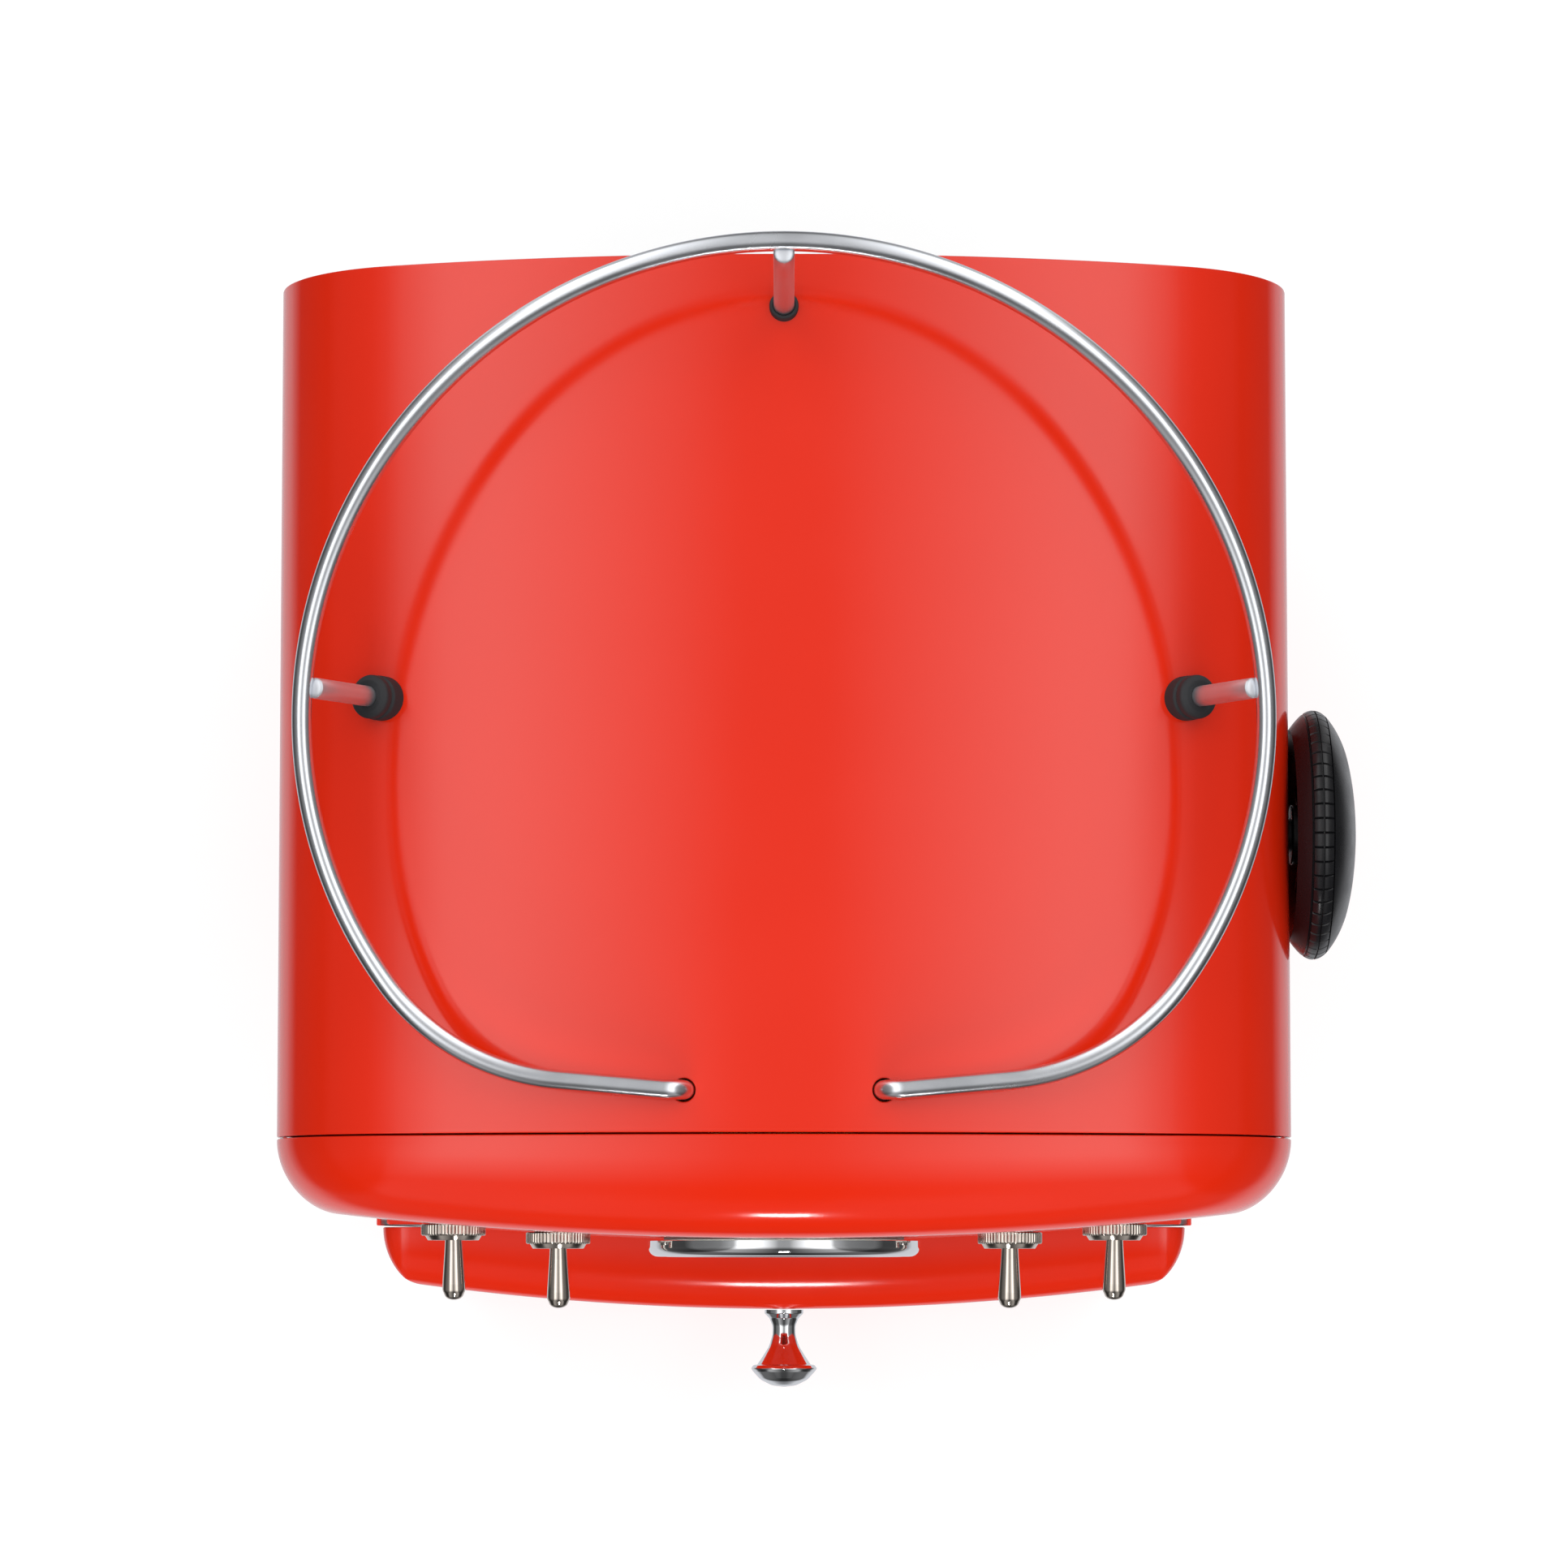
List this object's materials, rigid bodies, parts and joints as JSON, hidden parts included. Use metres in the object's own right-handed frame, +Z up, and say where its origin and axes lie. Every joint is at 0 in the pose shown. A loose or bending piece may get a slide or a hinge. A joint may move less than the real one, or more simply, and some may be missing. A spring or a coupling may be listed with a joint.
{
  "type": "espresso machine",
  "caption": "Home espresso machine: glossy rounded head with dial and toggles, cup rail, steam wand, drip drawer, rear water tank.",
  "frame": {"origin": "on the table, under the middle of the machine's overall box", "axes": "+Z up, the dial and toggles face -Y, the steam knob is on +X"},
  "size_m": [0.2674, 0.2754, 0.3369],
  "materials": {
    "red_paint": "high gloss red enamel",
    "steel": "satin",
    "black_metal": "satin black powder coat",
    "chrome": "polished",
    "nickel": "polished warm nickel",
    "brass": "turned",
    "copper": "drawn tube",
    "black_plastic": "semi-gloss moulded",
    "rubber": "matte",
    "silicone": "translucent white",
    "dial_white": "matte off-white",
    "dial_window": "clear",
    "clear_plastic": "translucent"
  },
  "bodies": {
    "machine": {"shell": "red_paint", "head_bezel": "red_paint", "belly_pan": "red_paint", "splash_panel": "red_paint", "base_deck": "red_paint", "base_plate": "steel", "chassis_frame": "steel", "heating_element": "steel", "shower_screen": "steel", "rear_panel": "black_metal", "pump": "black_metal", "cup_rail": "chrome", "dial_bezel": "chrome", "wand_nut": "chrome", "group_head": "chrome", "toggle_nut_far_left": "nickel", "toggle_nut_left": "nickel", "toggle_nut_right": "nickel", "toggle_nut_far_right": "nickel", "steam_valve_body": "brass", "boiler_shell": "brass", "boiler_base": "brass", "steam_pipe": "copper", "wand_feed_pipe": "copper", "boiler_thermostat": "black_plastic", "solenoid_valve": "black_plastic", "tank_socket": "black_plastic", "power_inlet": "black_plastic", "toggle_body_far_left": "black_plastic", "toggle_body_left": "black_plastic", "toggle_body_right": "black_plastic", "toggle_body_far_right": "black_plastic", "foot_front_left": "rubber", "foot_front_right": "rubber", "foot_rear_left": "rubber", "foot_rear_right": "rubber", "rail_grommet_left": "rubber", "rail_grommet_right": "rubber", "rail_grommet_rear": "rubber", "group_gasket": "rubber", "suction_hose": "silicone", "pressure_hose": "silicone", "dial_housing": "dial_white", "dial_glass": "dial_window"},
    "pointer": {"dial_pointer": "black_plastic"},
    "steam_control": {"steam_knob": "black_plastic", "valve_stem": "steel"},
    "wand": {"steam_wand": "chrome", "wand_nozzle": "steel"},
    "drawer": {"drawer_front": "red_paint", "drip_pan": "black_plastic", "drawer_knob": "chrome"},
    "grille": {"drip_grille": "steel"},
    "tank": {"water_tank": "clear_plastic", "tank_valve": "black_plastic"},
    "lid": {"tank_lid": "black_plastic"},
    "toggle_far_left": {"toggle_lever_far_left": "nickel"},
    "toggle_left": {"toggle_lever_left": "nickel"},
    "toggle_right": {"toggle_lever_right": "nickel"},
    "toggle_far_right": {"toggle_lever_far_right": "nickel"}
  },
  "joints": [
    {"name": "toggle_far_left_throw", "type": "hinge", "parent": "machine", "child": "toggle_far_left", "pos_m": [-0.09065, -0.09225, 0.231], "axis": [-1, 0, 0], "range_deg": [0, 24]},
    {"name": "toggle_left_throw", "type": "hinge", "parent": "machine", "child": "toggle_left", "pos_m": [-0.06465, -0.0943, 0.231], "axis": [-1, 0, 0], "range_deg": [0, 24]},
    {"name": "toggle_right_throw", "type": "hinge", "parent": "machine", "child": "toggle_right", "pos_m": [0.04735, -0.0943, 0.231], "axis": [-1, 0, 0], "range_deg": [0, 24]},
    {"name": "toggle_far_right_throw", "type": "hinge", "parent": "machine", "child": "toggle_far_right", "pos_m": [0.07335, -0.09225, 0.231], "axis": [-1, 0, 0], "range_deg": [0, 24]},
    {"name": "steam_knob_turn", "type": "hinge", "parent": "machine", "child": "steam_control", "pos_m": [0.11725, 0.003, 0.231], "axis": [1, 0, 0], "range_deg": [0, 300]},
    {"name": "wand_swivel", "type": "hinge", "parent": "machine", "child": "wand", "pos_m": [0.07935, -0.0377, 0.168], "axis": [0, 0, 1], "range_deg": [-60, 90]},
    {"name": "pointer_turn", "type": "hinge", "parent": "machine", "child": "pointer", "pos_m": [-0.00865, -0.0949, 0.231], "axis": [0, 1, 0], "range_deg": [0, 240]},
    {"name": "drawer_slide", "type": "slide", "parent": "machine", "child": "drawer", "axis": [0, -1, 0], "range_m": [0, 0.13]},
    {"name": "grille_lift", "type": "slide", "parent": "machine", "child": "grille", "axis": [0, 0, 1], "range_m": [0, 0.03]},
    {"name": "tank_slide", "type": "slide", "parent": "machine", "child": "tank", "axis": [0, 1, 0], "range_m": [0, 0.09]},
    {"name": "lid_lift", "type": "slide", "parent": "tank", "child": "lid", "axis": [0, 0, 1], "range_m": [0, 0.02]}
  ]
}
